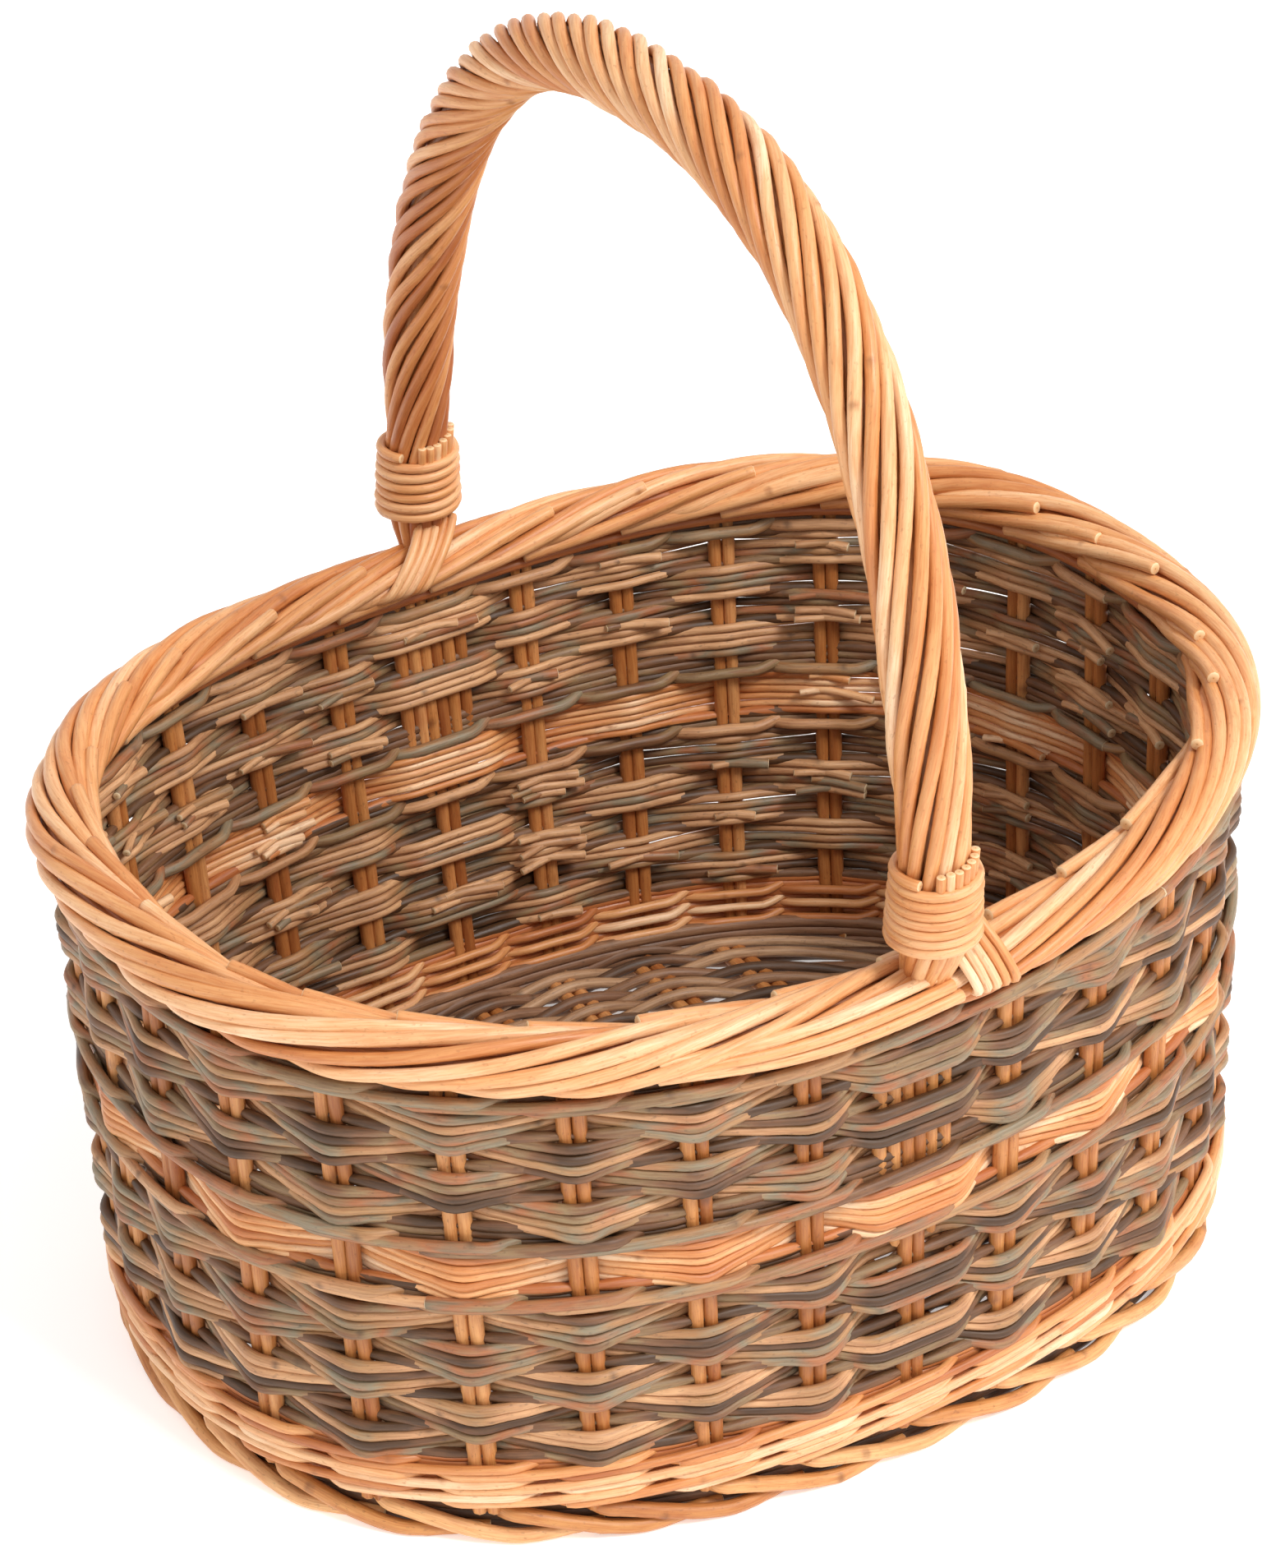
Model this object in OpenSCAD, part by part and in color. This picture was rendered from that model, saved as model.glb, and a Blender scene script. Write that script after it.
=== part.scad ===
// Oval woven market basket with a fixed roped bow handle.
// Origin: centre of the oval rim, on the ground. +X runs along the basket's length, +Z is up,
// and the handle stands in the YZ plane. All sizes in millimetres.

/* [Body] */
// Outside length over the rim border
rim_length = 430; // [260:5:600]
// Outside width over the rim border
rim_width = 346; // [200:5:480]
// Height of the middle of the rim border
rim_height = 202; // [120:2:300]
// Outside length of the foot
foot_length = 414; // [240:2:580]
// Outside width of the foot
foot_width = 314; // [180:2:460]
// How far the foot sits toward +X of the rim's centre, a hand-made lean
lean_x = 7; // [0:0.5:15]
// How far the foot sits toward -Y of the rim's centre
lean_y = 4; // [0:0.5:10]
// Squareness of the oval plan, 2 is an ellipse
plan_power = 2.3; // [2:0.05:3]
// How much higher the rim stands at the two ends than at the handle
rim_saddle = 6; // [0:0.5:15]
// How much higher the rim stands at +X than at -X
rim_tilt = 5; // [0:0.5:12]

/* [Weave] */
// Number of stake pairs around the oval, even so that every row closes
stakes = 30; // [20:2:44]
// Diameter of one side stake
stake_d = 5; // [3:0.1:7]
// Height of one slew row of three or four grey rods
slew_h = 12; // [8:0.5:18]
// Thickness of a slew rod
slew_t = 3.1; // [2:0.1:5]
// Rod diameter in the three-rod wales
wale_d = 4.2; // [3:0.1:7]
// Height of one row of three-rod wale
wale_h = 5.8; // [3:0.1:9]

/* [Borders] */
// Diameter of a rim border rod
border_rod = 6.6; // [4:0.1:10]
// Radius of the rim border's whole bundle
border_r = 12.3; // [8:0.1:18]
// Height of the foot border
foot_h = 15; // [8:0.5:24]
// Diameter of a foot border rod
foot_rod = 6.2; // [4:0.1:9]

/* [Base] */
// Height of the woven base plate's underside
base_z = 7; // [3:0.5:15]
// Thickness of the woven base plate
base_t = 8; // [5:0.5:14]
// Diameter of a base stick
base_stick = 5.4; // [4:0.1:8]

/* [Handle] */
// Height of the handle's centre line at its crown
handle_top = 445; // [300:5:600]
// Half the span between the two legs' centre lines
handle_half = 167; // [100:1:230]
// How far the handle stands toward +X of the rim's centre
handle_x = 2.8; // [-6:0.2:6]
// Squareness of the arch, 2 is an ellipse
arch_power = 2.42; // [2:0.02:3.2]
// Diameter over the roped rods
grip_d = 26.4; // [18:0.2:36]
// Number of rods roped around the core
rope_rods = 12; // [8:1:16]
// Diameter of one roped rod
rope_d = 4.9; // [3:0.1:7]
// Turns of the rope from foot to foot
rope_turns = 4.8; // [2:0.1:8]
// Diameter of the rods pushed down beside the stakes under each leg
liner_d = 5; // [3:0.1:7]
// Height of each leg's binding above the rim border
bind_gap = 8.6; // [1:0.2:20]
// Turns of thin rod in each leg's binding
bind_turns = 8; // [4:1:10]
// Diameter of the thin binding rod
bind_d = 3.3; // [2:0.1:5]

/* [Hidden] */
buff = [0.89, 0.66, 0.42];
grey = [0.50, 0.45, 0.36];
brown = [0.66, 0.40, 0.22];
dark = [0.42, 0.34, 0.28];
// centre line of the rim border and of the wall at the foot
rim_a = rim_length / 2 - border_r;
rim_b = rim_width / 2 - border_r;
low_a = foot_length / 2 - foot_rod;
low_b = foot_width / 2 - foot_rod;
row_z = [42.6, 55.3, 68.1, 80.8, 93.6, 116.5, 141, 153.2, 165.4, 177.2];
row_k = rim_height / 202;
// height of the lowest upsett wale and the rise to each next one
upsett_low = 19;
upsett_step = 6;
// thickness of a fine grey wale against a buff one
fine_wale = 0.8;
// height of the hoop that the foot stands on
hoop_h = 5;
// how much slimmer the roped legs are inside their bindings, in radius
leg_slim = 1.9;
// top of the rim border at the handle, and the middle of the lowest and highest binding turns
border_top = rim_height + border_r - rim_saddle;
bind_low = border_top + bind_gap + bind_d / 2;
bind_step = bind_d + 0.15;
bind_high = bind_low + (bind_turns - 1) * bind_step;
leg_y = handle_half - 0.6;
// the weavers' clearance from a stake
gap = 0.5;
// a rim border rod's run: pitches of stakes along the rim, and its section angles from first to last
border_span = 4.6;
border_from = 205;
border_turn = 262;
// how far the stakes and legs go down into the border, and where the stakes start in the foot
tuck = 8;
stake_foot = 9;
// base sticks: gaps between neighbours, spacing of the cross pairs, and gaps to the wall
stick_gap = 1.4;
cross_step = 34;
long_end = 12;
long_fan = 3;
cross_end = 11;
// height of the cross sticks above the middle of the base
cross_up = 1.5;
// feet of the liners: the lowest one's height and the step to the next
liner_low = 96;
liner_step = 14;
liner_gap = 2.9;
// small clearance between rods laid side by side
side_gap = 0.3;
// cut tips above a binding: how many, the turn between them, diameter and length
tips = 7;
tip_turn = 14;
tip_d = 3;
tip_h = 6;

function unit(v) = v / norm(v);
// 0 at the foot, 1 at the rim
function up_t(z) = z / rim_height;
function axis_a(z) = low_a + (rim_a - low_a) * up_t(z);
function axis_b(z) = low_b + (rim_b - low_b) * up_t(z);
function off_x(z) = lean_x * (1 - up_t(z));
function off_y(z) = -lean_y * (1 - up_t(z));
// radius of the oval at polar angle t
function oval_r(t, a, b) = pow(pow(abs(cos(t)) / a, plan_power) + pow(abs(sin(t)) / b, plan_power),
    -1 / plan_power);
function oval_n(x, y, a, b) = unit([sign(x) * pow(abs(x), plan_power - 1) / pow(a, plan_power),
    sign(y) * pow(abs(y), plan_power - 1) / pow(b, plan_power), 0]);
// the rim rises at the ends, and the rows below it follow less and less
function lift(t, z) = (rim_saddle * cos(2 * t) + rim_tilt * cos(t)) * pow(max(0, up_t(z)), 1.5);
// outward direction of the wall at angle t
function wall_n(t, z) = let (a = axis_a(z), b = axis_b(z), r = oval_r(t, a, b))
    oval_n(r * cos(t), r * sin(t), a, b);
// a point on the wall: angle t, height z, out by o
function wall_p(t, z, o) = let (a = axis_a(z), b = axis_b(z), r = oval_r(t, a, b),
    n = oval_n(r * cos(t), r * sin(t), a, b))
    [r * cos(t) + off_x(z) + o * n[0], r * sin(t) + off_y(z) + o * n[1], z + lift(t, z)];
// polar angle at each fraction of the oval's perimeter, so the stakes are evenly spaced
step_n = 240;
mid_pts = [for (i = [0:step_n]) let (t = i * 360 / step_n) wall_p(t, rim_height * 0.5, 0)];
seg = [for (i = [1:step_n]) norm([mid_pts[i][0] - mid_pts[i - 1][0], mid_pts[i][1] - mid_pts[i - 1][1]])];
run = [for (i = 0, s = 0; i <= step_n; s = s + (i < step_n ? seg[i] : 0), i = i + 1) s];
table = [for (i = [0:step_n]) [run[i] / run[step_n], i * 360 / step_n]];
function ang(f) = lookup(f - floor(f), table) + 360 * floor(f);
// angle of stake k, which may be a fraction
function stake_t(k) = ang((k + 0.5) / stakes);

// a rod swept through the points p; e is one side direction at each point, r1 and r2 the half
// sizes along e and across it, m the number of sides
module sweep(p, e, r1, r2, m, closed = false, turn = 0) {
    c = len(p);
    q = [for (i = [0:c - 1]) let (
            n = closed ? p[(i + 1) % c] : p[min(i + 1, c - 1)],
            l = closed ? p[(i + c - 1) % c] : p[max(i - 1, 0)],
            d = unit(n - l), s = unit(cross(d, e[i])), u = cross(s, d))
        for (j = [0:m - 1]) let (a = turn + j * 360 / m)
            p[i] + r1 * cos(a) * u + r2 * sin(a) * s];
    rings = closed ? c : c - 1;
    side = [for (i = [0:rings - 1]) for (j = [0:m - 1]) let (
            a = i * m + j, b = i * m + (j + 1) % m,
            h = ((i + 1) % c) * m + j, g = ((i + 1) % c) * m + (j + 1) % m)
        each [[a, g, b], [a, h, g]]];
    caps = closed ? [] : [for (j = [1:m - 2]) each
        [[0, j, j + 1], [(c - 1) * m, (c - 1) * m + j + 1, (c - 1) * m + j]]];
    polyhedron(points = q, faces = concat(side, caps), convexity = 6);
}

// one closed slew row: a flat band of rods passing outside and inside alternate stakes
module slew(i) {
    z = row_z[i] * row_k;
    amp = stake_d / 2 + slew_t / 2 + gap;
    c = 2 * stakes;
    t = [for (s = [0:c - 1]) stake_t(s / 2)];
    o = [for (s = [0:c - 1]) s % 2 == 1 ? 0 : ((s / 2 + i) % 2 == 1 ? amp : -amp)];
    p = [for (s = [0:c - 1]) wall_p(t[s], z, o[s])];
    e = [for (s = [0:c - 1]) wall_n(t[s], z)];
    sweep(p, e, slew_t / 2 * sqrt(2), slew_h / 2 * sqrt(2), 4, true, 45);
}

// one row of three-rod wale: the rope of rods bulges out over two stakes and in at the third
module wale(z, shift, r) {
    c = 2 * stakes;
    t = [for (s = [0:c - 1]) stake_t(s / 2)];
    out = stake_d / 2 + r + gap;
    o = [for (s = [0:c - 1]) let (ph = (s / 2 + shift) % 3)
        ph == 0 ? -out : (ph == 0.5 || ph == 2.5 ? 0 : out)];
    p = [for (s = [0:c - 1]) wall_p(t[s], z, o[s])];
    e = [for (s = [0:c - 1]) wall_n(t[s], z)];
    sweep(p, e, r * sqrt(2), wale_h / 2 * sqrt(2), 4, true, 45);
}

module side_stakes() color(brown)
    for (k = [0:stakes - 1]) for (s = [-1, 1]) {
        t = stake_t(k);
        lo = wall_p(t, stake_foot, 0);
        hi = wall_p(t, rim_height - tuck, 0);
        n = wall_n(t, rim_height / 2);
        g = [-n[1], n[0], 0] * s * (stake_d + side_gap) / 2;
        rod(lo + g, hi + g, stake_d);
    }

// a straight round rod between two points
module rod(a, b, d) {
    v = b - a;
    translate(a) rotate([0, acos(v[2] / norm(v)), atan2(v[1], v[0])])
        cylinder(h = norm(v), d = d, $fn = 24);
}

// rods that spiral round the rim: from low inside, over the top, to the outside
module rim_border() color(buff) {
    c = 9;
    r0 = border_r - border_rod / 2;
    for (k = [0:stakes - 1]) {
        f = [for (i = [0:c - 1]) i / (c - 1)];
        t = [for (i = [0:c - 1]) stake_t(k - border_span * f[i])];
        w = [for (i = [0:c - 1]) border_from - border_turn * f[i]];
        n = [for (i = [0:c - 1]) wall_n(t[i], rim_height)];
        e = [for (i = [0:c - 1]) cos(w[i]) * n[i] + [0, 0, sin(w[i])]];
        p = [for (i = [0:c - 1]) wall_p(t[i], rim_height, 0) + r0 * e[i]];
        sweep(p, e, border_rod / 2, border_rod / 2, 5);
    }
}

// the flat-bottomed hoop that the basket stands on
module foot_hoop() color(brown)
    difference() {
        foot_slab(0, hoop_h, foot_rod / 2);
        foot_slab(-1, hoop_h + 1, -foot_rod / 2);
    }

// short slanting rods laid round on top of the hoop
module foot_border() color(brown) {
    c = 4;
    top = foot_h - foot_rod / 2;
    low = hoop_h + foot_rod / 2 + 0.15;
    for (k = [0:stakes - 1]) {
        f = [for (i = [0:c - 1]) i / (c - 1)];
        t = [for (i = [0:c - 1]) stake_t(k + 0.05 + 0.9 * f[i])];
        p = [for (i = [0:c - 1]) wall_p(t[i], top + (low - top) * f[i], 1.2 + 1.2 * f[i])];
        e = [for (i = [0:c - 1]) wall_n(t[i], top)];
        sweep(p, e, foot_rod / 2, foot_rod / 2, 6);
    }
}

// a solid oval slab from height lo to hi, out from the wall line by o
module foot_slab(lo, hi, o)
    translate([0, 0, lo]) linear_extrude(height = hi - lo)
        polygon([for (i = [0:95]) let (q = wall_p(i * 3.75, 0, o)) [q[0], q[1]]]);

// the woven floor, with a channel for every stick that runs through it
module base_weave() color(dark)
    difference() {
        translate([0, 0, base_z]) linear_extrude(height = base_t)
            polygon([for (i = [0:95]) let (q = wall_p(i * 3.75, base_z, -stake_d / 2 - 1)) [q[0], q[1]]]);
        long_sticks(0.1);
        cross_sticks(0.1);
    }

module base_long_sticks() color(brown) long_sticks(0);
module base_cross_sticks() color(brown) cross_sticks(0);

module long_sticks(g)
    for (i = [-2:2]) {
        y = i * (base_stick + stick_gap);
        l = axis_a(base_z) - long_end - long_fan * abs(i);
        translate([off_x(base_z) - l, off_y(base_z) + y, base_z + (base_t - base_stick) / 2 + stick_gap])
            rotate([0, 90, 0]) cylinder(h = 2 * l, d = base_stick + g, $fn = 24);
    }

module cross_sticks(g)
    for (i = [-3:3]) for (s = i == 0 ? [0] : [-1, 1]) {
        x = i * cross_step + s * (base_stick / 2 + gap);
        u = 1 - pow(abs(x) / axis_a(base_z), plan_power);
        l = axis_b(base_z) * pow(max(0.1, u), 1 / plan_power) - cross_end;
        translate([off_x(base_z) + x, off_y(base_z) - l, base_z + (base_t + base_stick) / 2 + cross_up])
            rotate([-90, 0, 0]) cylinder(h = 2 * l, d = base_stick + g, $fn = 24);
    }

// the handle's centre line: u runs from -1 at the front foot to 1 at the back foot
function arch_w(u) = 90 - 90 * u;
function arch_p(u) = let (w = arch_w(u), c = cos(w), s = max(0, sin(w)))
    [handle_x, handle_half * sign(c) * pow(abs(c), 2 / arch_power),
        rim_height + (handle_top - rim_height) * pow(s, 2 / arch_power)];
function arch_d(u) = unit(arch_p(min(1, u + 0.01)) - arch_p(max(-1, u - 0.01)));

// the stout bow inside the rope, whose two ends go down into the border
module handle_bow() color(brown) {
    r = max(2, grip_d / 2 - rope_d - leg_slim - side_gap);
    c = 33;
    arch = [for (i = [0:c - 1]) arch_p(-1 + 2 * i / (c - 1))];
    foot = rim_height - tuck - 1;
    p = concat([[handle_x, -rim_b, foot]], arch, [[handle_x, rim_b, foot]]);
    e = [for (i = [0:len(p) - 1]) [1, 0, 0]];
    sweep(p, e, r, r, 8);
}

// how far the rope is drawn in at height z: fully at the bindings, not at all well above them
slim_run = 50;
function drawn_in(z) = leg_slim * min(1, max(0, (bind_high + slim_run - z) / slim_run));

// the rods roped round the bow
module handle_rope() color(buff)
    for (k = [0:rope_rods - 1]) {
        c = 41;
        r0 = (grip_d - rope_d) / 2;
        u = [for (i = [0:c - 1]) -0.985 + 1.97 * i / (c - 1)];
        w = [for (i = [0:c - 1]) k * 360 / rope_rods + 180 * rope_turns * u[i]];
        e = [for (i = [0:c - 1]) let (d = arch_d(u[i]))
            cos(w[i]) * [1, 0, 0] + sin(w[i]) * cross(d, [1, 0, 0])];
        p = [for (i = [0:c - 1]) let (a = arch_p(u[i])) a + (r0 - drawn_in(a[2])) * e[i]];
        sweep(p, e, rope_d / 2, rope_d / 2, 4);
    }

// four rods pushed down beside the stakes under each leg, woven in with them
module liners(s) color(brown)
    for (x = [-1, 1]) for (i = [0, 1]) {
        g = x * (stake_d + liner_gap + i * (liner_d + side_gap));
        hi = wall_p(s * 90, rim_height - tuck, 0);
        lo = wall_p(s * 90, row_k * (liner_low + liner_step * i), 0);
        rod([g + lean_x * (1 - up_t(lo[2])), lo[1], lo[2]], [g, hi[1], hi[2]], liner_d);
    }
module handle_liners_front() liners(-1);
module handle_liners_back() liners(1);

// turns of thin rod binding the leg just above the border, drawn in toward the top
module binding(s) color(buff)
    for (i = [0:bind_turns - 1])
        translate([handle_x, s * leg_y, bind_low + i * bind_step])
            rotate_extrude($fn = 48)
                translate([grip_d / 2 + 1.2 - i / (bind_turns - 1), 0]) circle(d = bind_d, $fn = 16);
module binding_front() binding(-1);
module binding_back() binding(1);

// five thin rods carried from the binding down over the border; x runs from head_x to foot_x
module lashing(s, head_x, foot_x) color(buff) {
    c = 9;
    r0 = border_r + bind_d / 2 + side_gap;
    rise = bind_low - rim_height + rim_saddle - r0;
    for (i = [0:4]) {
        f = [for (j = [0:c - 1]) j / (c - 1)];
        w = [for (j = [0:c - 1]) 85 - 90 * f[j]];
        e = [for (j = [0:c - 1]) [0, -cos(w[j]), sin(w[j])]];
        p = [for (j = [0:c - 1]) [head_x + (foot_x - head_x) * f[j] + i * (bind_d + side_gap),
            s * rim_b, rim_height - rim_saddle] + (r0 + rise * pow(1 - f[j], 3)) * e[j]];
        sweep(p, e, bind_d / 2, bind_d / 2, 6);
    }
}
module lashing_front() lashing(-1, 9, 17.5);
module lashing_back() lashing(1, -1.5, -25.5);

// the cut tips of rods that stand up above each binding
module rope_ends(s, first) color(buff)
    for (i = [0:tips - 1]) {
        w = first + i * tip_turn;
        r = (grip_d + tip_d) / 2 - leg_slim + side_gap;
        translate([handle_x + r * cos(w), s * leg_y + r * sin(w), bind_high - 1])
            cylinder(h = tip_h, d = tip_d, $fn = 24);
    }
module rope_ends_front() rope_ends(-1, -115);
module rope_ends_back() rope_ends(1, -108);

module upsett_wale_1() color(buff) wale(upsett_low, 0, wale_d / 2);
module upsett_wale_2() color(buff) wale(upsett_low + upsett_step, 1, wale_d / 2);
module upsett_wale_3() color(buff) wale(upsett_low + 2 * upsett_step, 2, wale_d / 2);
module mid_wale_lower() color(grey) wale(104.9 * row_k, 0, wale_d / 2 * fine_wale);
module mid_wale_upper() color(grey) wale(128.7 * row_k, 1, wale_d / 2 * fine_wale);
module top_wale() color(grey) wale(187 * row_k, 2, wale_d / 2 * fine_wale);
module slew_row_01() color(grey) slew(0);
module slew_row_02() color(grey) slew(1);
module slew_row_03() color(grey) slew(2);
module slew_row_04() color(grey) slew(3);
module slew_row_05() color(grey) slew(4);
module slew_row_06() color(buff) slew(5);
module slew_row_07() color(grey) slew(6);
module slew_row_08() color(grey) slew(7);
module slew_row_09() color(grey) slew(8);
module slew_row_10() color(grey) slew(9);

base_long_sticks();
base_cross_sticks();
base_weave();
foot_hoop();
foot_border();
upsett_wale_1();
upsett_wale_2();
upsett_wale_3();
slew_row_01();
slew_row_02();
slew_row_03();
slew_row_04();
slew_row_05();
slew_row_06();
slew_row_07();
slew_row_08();
slew_row_09();
slew_row_10();
mid_wale_lower();
mid_wale_upper();
top_wale();
side_stakes();
rim_border();
handle_bow();
handle_rope();
handle_liners_front();
handle_liners_back();
binding_front();
binding_back();
lashing_front();
lashing_back();
rope_ends_front();
rope_ends_back();
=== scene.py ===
"""Oval market basket in willow: slewed grey walls, buff wales and border, roped bow handle."""
import math

import bpy
import numpy as np
from mathutils import Matrix, Vector


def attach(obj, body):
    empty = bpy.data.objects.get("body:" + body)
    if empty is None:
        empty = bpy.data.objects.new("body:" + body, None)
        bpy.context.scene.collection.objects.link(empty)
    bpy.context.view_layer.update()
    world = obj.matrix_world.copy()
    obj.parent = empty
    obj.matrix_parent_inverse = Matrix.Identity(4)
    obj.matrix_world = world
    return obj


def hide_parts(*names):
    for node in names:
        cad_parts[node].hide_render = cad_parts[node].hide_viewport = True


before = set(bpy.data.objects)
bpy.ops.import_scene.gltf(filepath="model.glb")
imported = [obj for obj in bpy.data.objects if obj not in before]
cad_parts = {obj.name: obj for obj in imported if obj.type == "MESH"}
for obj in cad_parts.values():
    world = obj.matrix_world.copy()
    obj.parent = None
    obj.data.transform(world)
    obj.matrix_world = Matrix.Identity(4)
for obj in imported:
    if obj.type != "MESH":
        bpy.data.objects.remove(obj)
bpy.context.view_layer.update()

TURN = 2 * math.pi

# The basket's measures in metres, the same as the CAD part's where it has them.
# The line that the border is rolled round: its height and its half-lengths.
RIM_Z = 0.202
RIM_A = 0.2027
RIM_B = 0.1607
# The wall's half-lengths on the floor, and where its middle lies from the rim's.
FOOT_A = 0.2008
FOOT_B = 0.1508
LEAN_X = 0.007
LEAN_Y = -0.004
# The oval's exponent, and how far the rim rises at both ends and toward +X.
PLAN = 2.3
SADDLE = 0.006
TILT = 0.005
# Pairs of stakes, the two pairs under the handle's legs, and a stake's radius.
STAKES = 30
BACK_BOW = 7
FRONT_BOW = 22
STAKE_R = 0.0025
# The border's outer radius round its line, and its rods: their radius, how many there are and
# how many stakes each one passes.
BORDER_R = 0.0123
BORDER_ROD = 0.00252
BORDER_RODS = 45
BORDER_SPAN = 4.75
# The slanting foot rods: how high they start, their radius and how many stakes each one passes.
FOOT_H = 0.015
FOOT_ROD = 0.0028
FOOT_SPAN = 2.1
# The handle's arch: its crown, half its width, where it stands and the exponent of its curve.
HANDLE_TOP = 0.445
HANDLE_HALF = 0.167
HANDLE_X = 0.0028
ARCH = 2.42
# The bow's radius, the grip's, the rods roped round it, their turns, and how much slimmer
# the legs are.
BOW_R = 0.0086
GRIP_R = 0.0132
ROPE_ROD = 0.00228
ROPE_RODS = 12
ROPE_TURNS = 3.9
LEG_SLIM = 0.0019
# The bindings round the legs: their lowest and highest turns, their radius and their rod's.
BIND_LOW = 0.2186
BIND_HIGH = 0.2445
BIND_R = 0.0143
BIND_ROD = 0.00186
# The cut tips above a binding: how many, the degrees between them and their radius.
TIPS = 7
TIP_TURN = 14
TIP_ROD = 0.0016
# The rods lashed over the border: how many, their radius and how far apart they lie.
LASH_RODS = 5
LASH_ROD = 0.0017
LASH_STEP = 0.0036
# The slew rows' heights, and which of them is buff, counted from 0.
SLEW_Z = (0.0426, 0.0553, 0.0681, 0.0808, 0.0936, 0.1165, 0.141, 0.1532, 0.1654, 0.1772)
BUFF_ROW = 5
# The lowest row of the upsett, and how far above each other its rows lie.
UPSETT_Z = 0.0200
UPSETT_STEP = 0.0060
# How far a slew rod swings either side of the stakes, and how much it sags, spreads and
# swells at a crest outside.
SLEW_SWING = (0.0043, 0.0049)
SLEW_SAG = 0.0016
SLEW_SPREAD = 0.21
SLEW_SWELL = 0.13
# The rods that fill the wall behind the weaving, toned dark as painted shade: their radius, how
# much thinner they are at a stake, how far they are lifted, how far apart they lie in a wale, and
# their painted shade tone.
PACK_R = 0.0023
PACK_NECK = 0.0011
PACK_LIFT = 0.0006
PACK_STEP = 0.0029
PAINTED_SHADE_TONE = 0.1
# How far the weaving's thin rods stray either way.
FINE_SWAY = 0.00025
# The feet of the stakes and of the longer liners, how much higher the shorter liners' feet are,
# and a liner's radius.
STAKE_FOOT = 0.0125
LINER_FOOT = 0.096
LINER_STEP = 0.014
LINER_R = 0.0026


def unit(v):
    """Vectors of length 1 the way v goes."""
    return v / np.linalg.norm(v, axis=-1, keepdims=True)


def ease(x, lo, hi):
    """0 below lo, 1 above hi, smooth between."""
    f = np.clip((x - lo) / (hi - lo), 0, 1)
    return f * f * (3 - 2 * f)


# ---- the wall's surface ----

def oval(t, a, b):
    """Points and outward directions on an oval of half-lengths a and b, at polar angles t."""
    r = ((np.abs(np.cos(t)) / a) ** PLAN + (np.abs(np.sin(t)) / b) ** PLAN) ** (-1 / PLAN)
    x = r * np.cos(t)
    y = r * np.sin(t)
    n = np.stack([np.sign(x) * np.abs(x) ** (PLAN - 1) / a ** PLAN,
                  np.sign(y) * np.abs(y) ** (PLAN - 1) / b ** PLAN,
                  np.zeros_like(x)], axis=-1)
    return x, y, unit(n)


def wall(t, z, out=0.0):
    """Points on the wall at polar angles t and heights z, moved outward, and the outward way."""
    t, z, out = np.broadcast_arrays(np.asarray(t, float), z, out)
    up = z / RIM_Z
    x, y, n = oval(t, FOOT_A + (RIM_A - FOOT_A) * up, FOOT_B + (RIM_B - FOOT_B) * up)
    lift = (SADDLE * np.cos(2 * t) + TILT * np.cos(t)) * np.clip(up, 0, None) ** 1.5
    p = np.stack([x + LEAN_X * (1 - up), y + LEAN_Y * (1 - up), z + lift], axis=-1)
    return p + out[..., None] * n, n


def stake_table():
    """Polar angle against the fraction of the way round the wall, and the stakes' pitch."""
    t = np.linspace(0, TURN, 721)
    p, _ = wall(t, RIM_Z / 2)
    run = np.concatenate([[0], np.cumsum(np.linalg.norm(np.diff(p[:, :2], axis=0), axis=1))])
    return run / run[-1], t, run[-1] / STAKES


RUN, ANGLE, PITCH = stake_table()


def stake_angle(k):
    """Polar angle of stake k, which may be a fraction or past a whole turn."""
    f = (np.asarray(k, float) + 0.5) / STAKES
    return np.interp(f % 1, RUN, ANGLE) + TURN * np.floor(f)


# ---- rods ----

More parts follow.
